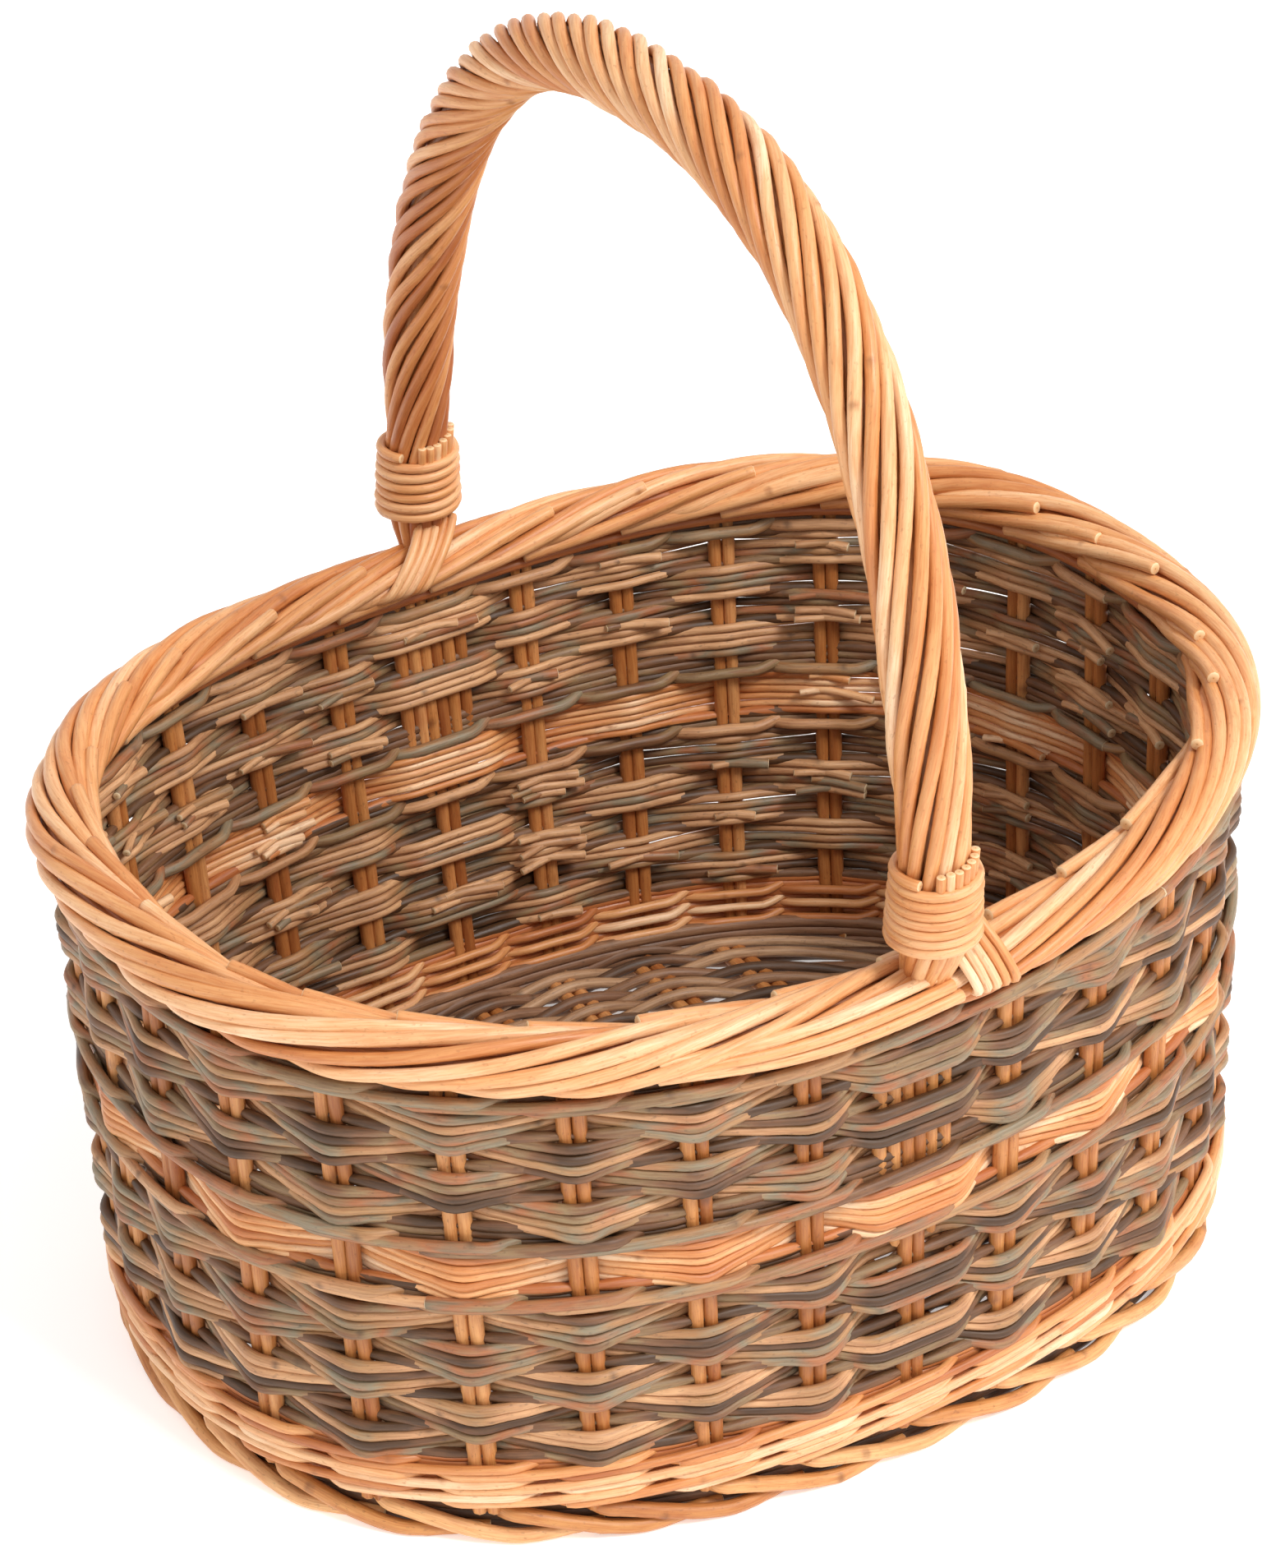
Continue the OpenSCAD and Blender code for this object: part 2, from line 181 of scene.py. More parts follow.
class Rods:
    """Gathers natural willow rods and makes one closed mesh object of them."""

    BUD_LENGTH = 0.0017
    BUD_SWELL = 0.17
    UNEVEN = 0.012
    TONE_DRIFT = 0.10
    # A cut end: how far it stands out and how wide it is, as fractions of the rod.
    END_OUT = 0.16
    END_SIZE = 0.86
    END_GRAIN = 0.85

    def __init__(self, seed, spacing=(0.03, 0.075)):
        self.rng = np.random.default_rng(seed)
        self.spacing = spacing
        self.parts = []
        self.faces = []
        self.count = 0

    def sway(self, length, size):
        """A slow random wander along a rod, about size either way."""
        waves = self.rng.uniform(25, 90, 3)
        phase = self.rng.uniform(0, TURN, 3)
        return size * 1.5 * np.sin(np.outer(length, waves) + phase).mean(axis=1)

    def buds(self, length, turn):
        """How strongly each point belongs to a leaf scar: one every few centimetres."""
        scar = np.zeros((len(length), len(turn)))
        at = self.rng.uniform(0.004, self.spacing[1])
        while at < length[-1]:
            side = self.rng.uniform(0, TURN)
            near = np.exp(-((length - at) / self.BUD_LENGTH) ** 2)
            scar += near[:, None] * np.clip(np.cos(turn - side), 0, 1)[None] ** 2
            at += self.rng.uniform(*self.spacing)
        return np.clip(scar, 0, 1)

    def add(self, path, side, radius, tone, sides=8, slope=0.0):
        """One rod along path; side is one crosswise direction at each point of it."""
        n = len(path)
        radius = np.broadcast_to(radius, n)
        tone = np.broadcast_to(tone, n)
        step = np.linalg.norm(np.diff(path, axis=0), axis=1)
        length = np.concatenate([[0], np.cumsum(step)])
        turn = np.arange(sides) * TURN / sides
        scar = self.buds(length, turn)
        verts = self._shape(path, side, radius, turn, scar, slope)
        grain = self._grain(length, radius, turn) + self.rng.uniform(0, 4, 3)
        drift = self.sway(np.repeat(length, sides), self.TONE_DRIFT)
        ends = np.repeat(tone[[0, -1]], sides + 1)
        shade = np.concatenate([np.repeat(tone, sides) + drift, ends])
        cut = np.concatenate([np.zeros(n * sides), np.ones(sides), [2], np.ones(sides), [2]])
        mark = np.concatenate([scar.ravel(), np.zeros(2 * sides + 2)])
        self.parts.append((verts, grain, np.clip(shade, 0, 1), cut, mark))
        self._skin(n, sides)

    def _shape(self, path, side, radius, turn, scar, slope):
        """The rod's points: its rings, then its two ends, slanting by slope."""
        along = unit(np.gradient(path, axis=0))
        across = unit(np.cross(along, np.broadcast_to(side, path.shape)))
        up = np.cross(across, along)
        rough = 1 + self.rng.normal(0, self.UNEVEN, (len(path), len(turn)))
        size = radius[:, None] * rough * (1 + self.BUD_SWELL * scar)
        cos = np.cos(turn)[None, :, None]
        sin = np.sin(turn)[None, :, None]
        rings = path[:, None] + size[..., None] * (cos * up[:, None] + sin * across[:, None])
        lead = np.cos(turn)[:, None] * slope
        rings[0] += along[0] * lead * radius[0]
        rings[-1] -= along[-1] * lead * radius[-1]
        first = self._end(rings[0], -along[0] * radius[0] * self.END_OUT)
        last = self._end(rings[-1], along[-1] * radius[-1] * self.END_OUT)
        return np.concatenate([rings.reshape(-1, 3), first, last])

    def _grain(self, length, radius, turn):
        """Where each point lies in the wood: along the rod, and across it both ways."""
        sides = len(turn)
        wide = np.repeat(radius, sides)
        around = np.tile(np.stack([np.cos(turn), np.sin(turn)]), len(length))
        grain = np.stack([np.repeat(length, sides), around[0] * wide, around[1] * wide], axis=-1)
        first = [grain[:sides] * self.END_GRAIN, grain[:1] * 0]
        last = [grain[-sides:] * self.END_GRAIN, grain[-1:] * (1, 0, 0)]
        return np.concatenate([grain, *first, *last])

    def _end(self, ring, out):
        """A cut end: a slightly smaller ring just beyond the last one, and its centre."""
        middle = ring.mean(axis=0)
        small = middle + (ring - middle) * self.END_SIZE + out
        return np.concatenate([small, [middle + out]])

    def _skin(self, n, sides):
        """The faces of a rod of n rings, with a fan of triangles on each end."""
        a = self.count
        j = np.arange(sides)
        h = (j + 1) % sides
        i = np.arange(n - 1)[:, None] * sides
        tube = np.stack([i + j, i + sides + j, i + sides + h, i + h], axis=-1).reshape(-1, 4) + a
        first = a + n * sides
        last = first + sides + 1
        rim = a + (n - 1) * sides
        self.faces.extend(tube.tolist())
        for ring in ((first + j, a + j, a + h, first + h),
                     (first + sides + 0 * j, first + j, first + h),
                     (rim + j, last + j, last + h, rim + h),
                     (last + sides + 0 * j, last + h, last + j)):
            self.faces.extend(np.stack(ring, axis=-1).tolist())
        self.count += n * sides + 2 * sides + 2

    def make(self, name, material, node):
        """The mesh object, riding on the body and standing for the CAD node."""
        verts, grain, tone, cut, mark = (np.concatenate(p) for p in zip(*self.parts))
        mesh = bpy.data.meshes.new(name)
        mesh.from_pydata(verts.tolist(), [], self.faces)
        mesh.polygons.foreach_set("use_smooth", [True] * len(mesh.polygons))
        wood = mesh.attributes.new("grain", "FLOAT_VECTOR", "POINT")
        wood.data.foreach_set("vector", grain.ravel())
        for label, values in (("tone", tone), ("cut", cut), ("mark", mark)):
            mesh.attributes.new(label, "FLOAT", "POINT").data.foreach_set("value", values)
        mesh.materials.append(material)
        obj = bpy.data.objects.new(name, mesh)
        bpy.context.scene.collection.objects.link(obj)
        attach(obj, "root")
        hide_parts(node)


def wall_path(rods, s, z, out, sway=0.0004):
    """A rod's path round the wall from stake to stake, a little uneven."""
    run = (s - s[0]) * PITCH
    z = z + rods.sway(run, sway)
    out = out + rods.sway(run, sway)
    return wall(stake_angle(s), z, out)


# ---- materials ----

def srgb(code):
    """A colour given as six hex digits, in linear light."""
    parts = [int(code[i:i + 2], 16) / 255 for i in (0, 2, 4)]
    return [c / 12.92 if c <= 0.04045 else ((c + 0.055) / 1.055) ** 2.4 for c in parts] + [1.0]


class Nodes:
    """Small helpers for wiring one material's nodes."""

    def __init__(self, name):
        self.material = bpy.data.materials.new(name)
        self.material.use_nodes = True
        self.tree = self.material.node_tree
        self.shader = self.tree.nodes["Principled BSDF"]

    def put(self, value, socket):
        """Link a node's output to a socket, or set the socket's constant."""
        if isinstance(value, bpy.types.NodeSocket):
            self.tree.links.new(value, socket)
        else:
            socket.default_value = value

    def attribute(self, name, output="Fac"):
        """A value that the mesh carries at its points."""
        node = self.tree.nodes.new("ShaderNodeAttribute")
        node.attribute_name = name
        return node.outputs[output]

    def noise(self, vector, stretch, scale, detail, rough):
        """Noise over a stretched vector."""
        node = self.tree.nodes.new("ShaderNodeVectorMath")
        node.operation = "MULTIPLY"
        self.put(vector, node.inputs[0])
        node.inputs[1].default_value = stretch
        tex = self.tree.nodes.new("ShaderNodeTexNoise")
        self.put(node.outputs[0], tex.inputs["Vector"])
        tex.inputs["Scale"].default_value = scale
        tex.inputs["Detail"].default_value = detail
        tex.inputs["Roughness"].default_value = rough
        return tex.outputs["Fac"]

    def ramp(self, factor, stops):
        """A colour from factor, through pairs of place and colour."""
        node = self.tree.nodes.new("ShaderNodeValToRGB")
        band = node.color_ramp.elements
        while len(band) < len(stops):
            band.new(0.5)
        for element, (at, colour) in zip(band, stops):
            element.position = at
            element.color = srgb(colour)
        self.put(factor, node.inputs["Fac"])
        return node.outputs["Color"]

    def span(self, value, lo, hi, to_lo, to_hi):
        """The value carried from the first range to the second, and held at its ends."""
        node = self.tree.nodes.new("ShaderNodeMapRange")
        self.put(value, node.inputs["Value"])
        limits = (("From Min", lo), ("From Max", hi), ("To Min", to_lo), ("To Max", to_hi))
        for name, number in limits:
            node.inputs[name].default_value = number
        return node.outputs["Result"]

    def mix(self, factor, one, two, how="MIX"):
        """Two colours mixed by factor."""
        node = self.tree.nodes.new("ShaderNodeMix")
        node.data_type = "RGBA"
        node.blend_type = how
        self.put(factor, node.inputs[0])
        self.put(one, node.inputs[6])
        self.put(two, node.inputs[7])
        return node.outputs[2]

    def sum(self, one, two, weight):
        """One value plus weight times another."""
        node = self.tree.nodes.new("ShaderNodeMath")
        node.operation = "MULTIPLY_ADD"
        self.put(two, node.inputs[0])
        node.inputs[1].default_value = weight
        self.put(one, node.inputs[2])
        return node.outputs[0]

    def bump(self, height, strength, distance):
        """The bumped normal of a height."""
        node = self.tree.nodes.new("ShaderNodeBump")
        node.inputs["Strength"].default_value = strength
        node.inputs["Distance"].default_value = distance
        self.put(height, node.inputs["Height"])
        return node.outputs["Normal"]


def willow(name, tones, streak, blotch, scar, wood, rough, coat):
    """Peeled or barked willow: long grain, blotches, leaf scars and pale cut ends."""
    n = Nodes(name)
    grain = n.attribute("grain", "Vector")
    fibre = n.noise(grain, (0.06, 1, 1), 1500, 4.0, 0.6)
    patch = n.noise(grain, (0.22, 1, 1), 160, 3.0, 0.6)
    speck = n.noise(grain, (0.5, 1, 1), 900, 2.0, 0.5)
    tone = n.sum(n.attribute("tone"), n.span(patch, 0.3, 0.7, -0.5, 0.5), 0.26)
    colour = n.ramp(tone, tones)
    colour = n.mix(n.span(fibre, 0.42, 0.62, 0.0, 0.45), colour, srgb(streak), "MULTIPLY")
    colour = n.mix(n.span(patch, 0.52, 0.72, 0.0, 0.5), colour, srgb(blotch), "MULTIPLY")
    colour = n.mix(n.span(speck, 0.62, 0.72, 0.0, 0.35), colour, srgb(scar))
    colour = n.mix(n.span(n.attribute("mark"), 0.2, 0.8, 0.0, 0.6), colour, srgb(scar))
    end = n.ramp(n.span(n.attribute("cut"), 1.0, 2.0, 0.0, 1.0), wood)
    colour = n.mix(n.span(n.attribute("cut"), 0.3, 0.7, 0.0, 1.0), colour, end)
    height = n.sum(n.sum(fibre, patch, 0.5), n.attribute("mark"), 1.2)
    n.put(colour, n.shader.inputs["Base Color"])
    n.put(n.span(patch, 0.3, 0.7, rough - 0.07, rough + 0.12), n.shader.inputs["Roughness"])
    n.put(n.bump(height, 0.35, 0.0005), n.shader.inputs["Normal"])
    n.shader.inputs["Coat Weight"].default_value = coat
    n.shader.inputs["Coat Roughness"].default_value = 0.32
    return n.material


BUFF = willow("buff_willow_skin",
              tones=[(0.0, "b46c3c"), (0.3, "d08a50"), (0.55, "e0a268"), (0.8, "ecba88"),
                     (1.0, "f6d6b0")],
              streak="dcae80", blotch="e2ae78", scar="9a5c30",
              wood=[(0.0, "eccda0"), (0.8, "deb280"), (1.0, "9c6434")],
              rough=0.42, coat=0.12)
GREY = willow("grey_willow_bark",
              tones=[(0.0, "50351c"), (0.14, "7e5638"), (0.28, "967c58"), (0.42, "aa6c44"),
                     (0.56, "8c8068"), (0.7, "b08458"), (0.85, "c49268"), (1.0, "daaa7c")],
              streak="b89c84", blotch="c8ac94", scar="4a3424",
              wood=[(0.0, "e8d3ae"), (0.8, "cfae80"), (1.0, "7c5634")],
              rough=0.50, coat=0.06)
STAKE = willow("brown_willow_skin",
               tones=[(0.0, "a0602f"), (0.35, "ba783e"), (0.65, "cc8c50"), (1.0, "dca066")],
               streak="cc9a6c", blotch="c89468", scar="6a3a20",
               wood=[(0.0, "efd2a4"), (0.8, "d8b080"), (1.0, "8c5a34")],
               rough=0.46, coat=0.08)
FOOT = willow("foot_willow_skin",
              tones=[(0.0, "b87640"), (0.35, "ce9052"), (0.65, "dea568"), (1.0, "ecbc84")],
              streak="cfa074", blotch="cc9464", scar="70401f",
              wood=[(0.0, "f2d8ac"), (0.8, "e0ba88"), (1.0, "98643a")],
              rough=0.45, coat=0.1)
BASE = willow("base_willow_bark",
              tones=[(0.0, "5a4230"), (0.3, "92694c"), (0.65, "aa8260"), (1.0, "c8a07a")],
              streak="a08468", blotch="a88c74", scar="46301f",
              wood=[(0.0, "e0c8a0"), (0.8, "c8a678"), (1.0, "74502f")],
              rough=0.52, coat=0.05)


# ---- the wall ----

def slew_wave(s, row):
    """Where a slew row runs: 1 outside a stake, -1 inside it, broader round the two bows."""
    x = math.pi * (s + row)
    peak = 1.151
    wave = -sum(np.cos(n * x) / n ** 2 for n in (1, 3, 5)) / peak
    for bow in (BACK_BOW, FRONT_BOW):
        away = np.abs((s - bow + STAKES / 2) % STAKES - STAKES / 2)
        top = 1 if (bow + row) % 2 else -1
        flat = top * (1 - 2 * ease(away, 0.34, 0.96))
        wave = np.where(away < 1, flat, wave)
    return wave


def slew_rod(rods, row, lane, start, end, r):
    """One slew rod, its straight ends left inside past a stake. Crests sag outside and spread."""
    lead = rods.rng.uniform(0.2, 0.5)
    tail = rods.rng.uniform(0.2, 0.4)
    s = np.arange(start - lead, end + tail, 0.06)
    past = np.clip(start - s, 0, None) + np.clip(s - end, 0, None)
    wave = np.where(past > 0, -1, slew_wave(s, row))
    crest = np.clip(wave, 0, 1) ** 2
    swing = rods.rng.uniform(*SLEW_SWING)
    dive = rods.rng.uniform(0.003, 0.009)
    droop = rods.rng.uniform(-0.005, 0.004)
    out = wave * swing - past * dive
    z = SLEW_Z[row] - SLEW_SAG * wave + lane * (1 + SLEW_SPREAD * crest)
    z = z + past * droop
    path, n = wall_path(rods, s, z, out, FINE_SWAY)
    f = (s - s[0]) / (s[-1] - s[0])
    taper = 1.12 - 0.26 * f
    size = r * taper * (1 + SLEW_SWELL * crest)
    # Painted light and shade: the rod is toned lighter where it runs inside the stakes and darker
    # at its crests outside.
    tone = rods.rng.uniform(0, 1) + 0.06 - 0.24 * wave
    rods.add(path, n, size, tone)


def packing(rods, z):
    """A rod straight through the stakes behind the weaving, thin where it meets a stake, toned dark
    as painted shade.
    """
    s = np.arange(0, STAKES + 0.3, 0.1)
    path, n = wall_path(rods, s, z + PACK_LIFT, 0 * s, 0.0001)
    rods.add(path, n, PACK_R - PACK_NECK * np.cos(np.pi * s) ** 8, PAINTED_SHADE_TONE)


def slew_row(row, name):
    """One row of four rods side by side, or six in the buff row, and the packing at its edges."""
    rods = Rods(100 + row)
    lanes = 6 if row == BUFF_ROW else 4
    gap = 0.00295 if row == BUFF_ROW else 0.00335
    for i in range(lanes):
        lane = (i - (lanes - 1) / 2) * gap
        first = int(rods.rng.integers(0, STAKES // 2)) * 2 + row % 2
        k = first
        while k < first + STAKES:
            end = min(k + 2 * int(rods.rng.integers(3, 8)), first + STAKES)
            r = gap * rods.rng.uniform(0.48, 0.54)
            slew_rod(rods, row, lane, k, end, r)
            k = end
    reach = (lanes * gap - 0.0008) / 2
    packing(rods, SLEW_Z[row] + reach)
    if row in (0, BUFF_ROW, BUFF_ROW + 1):
        packing(rods, SLEW_Z[row] - reach)
    if row == BUFF_ROW:
        rods.make("buff_slew_row", BUFF, name)
    else:
        rods.make("grey_" + name, GREY, name)


def wale_rod(rods, z, strand, start, end, r, rise):
    """One rod of a three-rod wale: in front of two stakes, behind the third, rising as it goes."""
    s = np.arange(start, end, 0.065)
    phase = ((s + strand) / 3) % 1
    inside = np.where(phase < 0.5, phase, phase - 1)
    behind = 1 - ease(np.abs(inside), 0.08, 0.27)
    climb = (phase - 0.5) * (1 - behind)
    clear = STAKE_R + r + 0.0003
    out = clear * (1 - 2 * behind) + climb * r * 1.1
    path, n = wall_path(rods, s, z + climb * 2 * rise, out, FINE_SWAY)
    f = (s - start) / (end - start)
    rods.add(path, n, r * (1.1 - 0.2 * f), rods.rng.uniform(0.1, 0.95))


def wale(name, label, z, r, rise, material, seed, shift=0):
    """A full round of three-rod wale, each strand pieced from two rods, with packing behind."""
    rods = Rods(seed)
    for strand in range(3):
        cuts = np.sort(rods.rng.integers(0, STAKES, 2))
        cuts = [cuts[0], cuts[1] + 1, cuts[0] + STAKES]
        for start, end in zip(cuts[:-1], cuts[1:]):
            wale_rod(rods, z, strand + shift, start - 0.3, end + 0.3, r, rise)
    for i in (-1, 0, 1):
        packing(rods, z + i * PACK_STEP)
    rods.make(label, material, name)


def side_stakes():
    """Pairs of stakes standing from the foot to the border."""
    rods = Rods(7)
    for k in range(STAKES):
        angle = float(stake_angle(k))
        for side in (-1, 1):
            z = np.arange(STAKE_FOOT, RIM_Z + 0.002, 0.004)
            path, n = wall(angle, z, rods.sway(z, 0.0003))
            edge = np.cross(n, (0, 0, 1))
            apart = STAKE_R - 0.0001 + rods.sway(z, 0.00015)
            path = path - edge * side * apart[:, None]
            r = STAKE_R * np.linspace(1.07, 1.0, len(z))
            rods.add(path, n, r, rods.rng.uniform(0.1, 0.9))
    rods.make("side_stake_pairs", STAKE, "side_stakes")


def liners(name, bow, seed):
    """Rods pushed down beside the stakes under a leg, with slanting cut feet."""
    rods = Rods(seed)
    angle = float(stake_angle(bow))
    for side in (-1, 1):
        for i in range(2):
            z = np.arange(RIM_Z - 0.002, LINER_FOOT + LINER_STEP * i, -0.004)
            path, n = wall(angle, z, -0.0002 + rods.sway(z, 0.0003))
            edge = np.cross(n, (0, 0, 1))
            apart = 0.0072 + i * 0.0053
            path = path - edge * side * apart
            tone = rods.rng.uniform(0.2, 0.9)
            rods.add(path, n, LINER_R - 0.0001 * i, tone, 10, slope=-1.6)
    rods.make("bow_" + name, STAKE, name)


# ---- borders ----

def section(t, w, r, z):
    """Points at radius r round the rim's line. At angle w = 0 they are outside it, then over it."""
    p, n = wall(t, z)
    e = np.cos(w)[:, None] * n + np.sin(w)[:, None] * np.array([0, 0, 1.0])
    return p + np.broadcast_to(r, w.shape)[:, None] * e, e


def border_rods(rods):
    """The thick rods that come up inside, go over the top and run down outside."""
    f = np.linspace(0, 1, 84)
    run = 0.2 * f
    taper = np.linspace(1.18, 0.88, len(f))
    sink = 0.0034 * (1 - ease(f, 0.0, 0.12))
    dive = 0.0030 * ease(f, 0.88, 1.0)
    for k in range(BORDER_RODS):
        start = 214 - rods.rng.uniform(0, 30)
        stop = -50 - rods.rng.uniform(0, 12)
        w = np.radians(start + (stop - start) * f) + rods.sway(run, 0.04)
        size = BORDER_ROD * taper * rods.rng.uniform(0.92, 1.08)
        r = BORDER_R - size + rods.sway(run, 0.0004) - rods.rng.uniform(0, 0.0016)
        r = r - sink - dive
        first = k * STAKES / BORDER_RODS
        at = first - BORDER_SPAN * f ** 1.15 + rods.rng.uniform(-0.08, 0.08)
        path, e = section(stake_angle(at), w, r, RIM_Z)
        rods.add(path, e, size, rods.rng.uniform(0.25, 0.9), 10)


def border_core(rods, f):
    """Rods inside the roll, toned dark as painted shade, so that nothing shows through it."""
    centre = 0.0040
    thick = 0.0026
    for k in range(0, STAKES, 2):
        for i in range(4):
            w = np.radians(200 - 75 * i - 110 * f)
            path, e = section(stake_angle(k + i * 0.5 - 5 * f), w, centre, RIM_Z)
            rods.add(path, e, thick, 0.0)


def border_ends(rods, f):
    """The layer that comes up between the thick rods and is cut off along the inner top."""
    start = 216
    thick = 0.0025 * np.linspace(1.1, 0.95, len(f))
    low = 0.0034 * (1 - ease(f, 0, 0.6))
    for k in range(STAKES):
        stop = rods.rng.uniform(112, 140)
        w = np.radians(start + (stop - start) * f)
        r = BORDER_R - 0.0008 - low + rods.rng.uniform(-0.0006, 0.0006)
        span = 2.2 + rods.rng.uniform(-0.2, 0.2)
        path, e = section(stake_angle(k - span * f), w, r, RIM_Z)
        rods.add(path, e, thick, rods.rng.uniform(0.4, 0.8), 10)


def border_finish(rods, f):
    """Three blunt rods that end beside the front lashing."""
    for i in range(3):
        w = np.radians(46 - 23 * i - 30 * (1 - f))
        r = BORDER_R - 0.0006 - 0.0036 * (1 - ease(f, 0, 0.6))
        at = FRONT_BOW - 2.3 + (2.42 + 0.07 * i) * f
        path, e = section(stake_angle(at), w, r, RIM_Z)
        rods.add(path, e, 0.0022, rods.rng.uniform(0.6, 0.9), 10)


def border_rings(rods):
    """Two rings under the border that close the top of the wall, toned dark as painted shade."""
    s = np.arange(0, STAKES + 0.4, 0.15)
    for z, out in ((0.1932, -0.0035), (0.1968, -0.0030)):
        path, n = wall(stake_angle(s), z, out)
        rods.add(path, n, 0.0021, 0.0)


def rim_border():
    """The whole rolled border."""
    rods = Rods(11, (0.06, 0.2))
    border_rods(rods)
    f = np.linspace(0, 1, 60)
    border_core(rods, f)
    border_ends(rods, f)
    border_finish(rods, f)
    border_rings(rods)
    rods.make("rim_border_rods", BUFF, "rim_border")


def foot_border():
    """Rods laid slanting round the foot: each starts high, runs down and turns under."""
    rods = Rods(12)
    high = FOOT_H - 0.0022
    f = np.linspace(0, 1, 44)
    z = high - (high - FOOT_ROD) * ease(f, 0.0, 0.66)
    behind = 0.0060 * (1 - ease(f, 0, 0.12))
    under = 0.0052 * ease(f, 0.62, 1)
    out = 0.0016 + 0.0012 * f - behind - under
    thick = FOOT_ROD * np.linspace(1.06, 0.9, len(f))
    for k in range(STAKES):
        s = k - 0.1 + rods.rng.uniform(-0.1, 0.1) + FOOT_SPAN * f
        path, n = wall_path(rods, s, z, out, 0.0002)
        rods.add(path, n, thick, rods.rng.uniform(0.1, 1), 10)
    rods.make("foot_border_rods", FOOT, "foot_border")


def foot_hoop():
    """Five rings, one on another, behind the slanting foot rods, toned dark as painted shade and
    darkest at the bottom.
    """
    rods = Rods(13)
    s = np.arange(0, STAKES + 0.4, 0.15)
    for i in range(5):
        path, n = wall(stake_angle(s), 0.0030 + 0.0038 * i, -0.0047)
        rods.add(path, n, 0.0025, 0.1 * i)
    rods.make("foot_hoop_rods", BASE, "foot_hoop")


# ---- the base ----

# The cross sticks' places along the base, the height of the sticks' middles and their radius.
CROSS_GAP = 0.034
CROSS = [i * CROSS_GAP for i in range(-3, 4)]
BASE_Z = 0.0112
STICK_R = 0.0027
# The rounds of weaving: their rods, how far they rise over a stick, how far apart they lie and
# how far the first lies from the edge.
ROUND_ROD = 0.0022
ROUND_RISE = 0.0031
ROUND_GAP = 0.0044
ROUND_EDGE = 0.0050


def stick_y(j, x):
    """A long stick's place across the base: close together in the middle, fanned at the ends."""
    return j * (0.0068 + 0.2 * np.clip(np.abs(x) - 0.07, 0, None))


def base_crossings(a, b):
    """Sorted polar angles at which an oval round of weaving meets the sticks."""
    angles = []
    for x in CROSS:
        if abs(x) < a - 0.003:
            y = b * (1 - (abs(x) / a) ** PLAN) ** (1 / PLAN)
            angles += [math.atan2(y, x), math.atan2(-y, x)]
    for j in range(-2, 3):
        x = a
        for _ in range(12):
            y = float(stick_y(j, x))
            x = a * max(0.0, 1 - (abs(y) / b) ** PLAN) ** (1 / PLAN)
        angles += [math.atan2(y, x), math.atan2(y, -x)]
    return np.sort(np.array(angles) % TURN)


def base_weave():
    """Rounds of thin rods, over one stick and under the next."""
    rods = Rods(21)
    for i in range(33):
        a = FOOT_A - ROUND_EDGE - i * ROUND_GAP
        b = FOOT_B - ROUND_EDGE - i * ROUND_GAP
        if b < 0.005:
            break
        around = (a + b) * 3.3
        hits = base_crossings(a, b)
        turns = np.concatenate([hits - TURN, hits, hits + TURN])
        count = np.arange(len(turns)) + i
        steps = max(60, int(around / 0.0028))
        t = np.linspace(0, TURN, steps) + rods.rng.uniform(0, 6.28)
        wave = np.cos(math.pi * np.interp(t % TURN, turns, count))
        x, y, n = oval(t, a, b)
        run = np.linspace(0, around, steps)
        climb = np.linspace(-0.001, 0.001, steps)
        z = BASE_Z + wave * ROUND_RISE + rods.sway(run, 0.0003) + climb
        path = np.stack([x + LEAN_X, y + LEAN_Y, z], axis=-1)
        path = path + n * rods.sway(run, 0.0003)[:, None]
        rods.add(path, n, ROUND_ROD, rods.rng.uniform(0, 1))
    rods.make("base_weaving", BASE, "base_weave")


def cross_sticks():
    """The cross sticks, in pairs."""
    rods = Rods(22)
    for x in CROSS:
        for side in (-1, 1):
            b = FOOT_B * (1 - (abs(x) / FOOT_A) ** PLAN) ** (1 / PLAN) - 0.006
            y = np.arange(-b, b, 0.005)
            at = x + side * 0.0029 + LEAN_X
            path = np.stack([0 * y + at, y + LEAN_Y, 0 * y + BASE_Z], axis=-1)
            rods.add(path, (1, 0, 0), STICK_R, rods.rng.uniform(0.2, 0.9))
    rods.make("base_cross_stick_pairs", STAKE, "base_cross_sticks")


def long_sticks():
    """The long sticks, which fan out toward the ends."""
    rods = Rods(23)
    for j in range(-2, 3):
        end = FOOT_A - 0.012 - 0.012 * abs(j)
        x = np.arange(-end, end, 0.005)
        path = np.stack([x + LEAN_X, stick_y(j, x) + LEAN_Y, 0 * x + BASE_Z - 0.0002], axis=-1)
        rods.add(path, (0, 1, 0), STICK_R, rods.rng.uniform(0.2, 0.9))
    rods.make("base_long_stick_fan", STAKE, "base_long_sticks")


# ---- the handle ----

def arch(u):
    """The handle's centre line, -1 at the front foot and 1 at the back foot."""
    w = np.radians(90 - 90 * u)
    c = np.cos(w)
    s = np.clip(np.sin(w), 0, None)
    y = HANDLE_HALF * np.sign(c) * np.abs(c) ** (2 / ARCH)
    z = RIM_Z + (HANDLE_TOP - RIM_Z) * s ** (2 / ARCH)
    return np.stack([0 * y + HANDLE_X, y, z], axis=-1)


def even_arch(lo, hi, count):
    """Points evenly along the arch, the way it runs and how far. Its feet tuck into the border."""
    u = np.linspace(-1, 1, 2001)
    p = arch(u)
    run = np.concatenate([[0], np.cumsum(np.linalg.norm(np.diff(p, axis=0), axis=1))])
    at = np.linspace(lo, hi, count) * run[-1]
    p = arch(np.interp(at, run, u))
    low = 1 - ease(p[:, 2], RIM_Z + 0.001, BIND_LOW + 0.004)
    tuck = np.stack([0 * low, 0.0058 * np.sign(p[:, 1]), 0 * low + 0.008], axis=-1)
    p = p - low[:, None] * tuck
    return p, unit(np.gradient(p, axis=0)), at


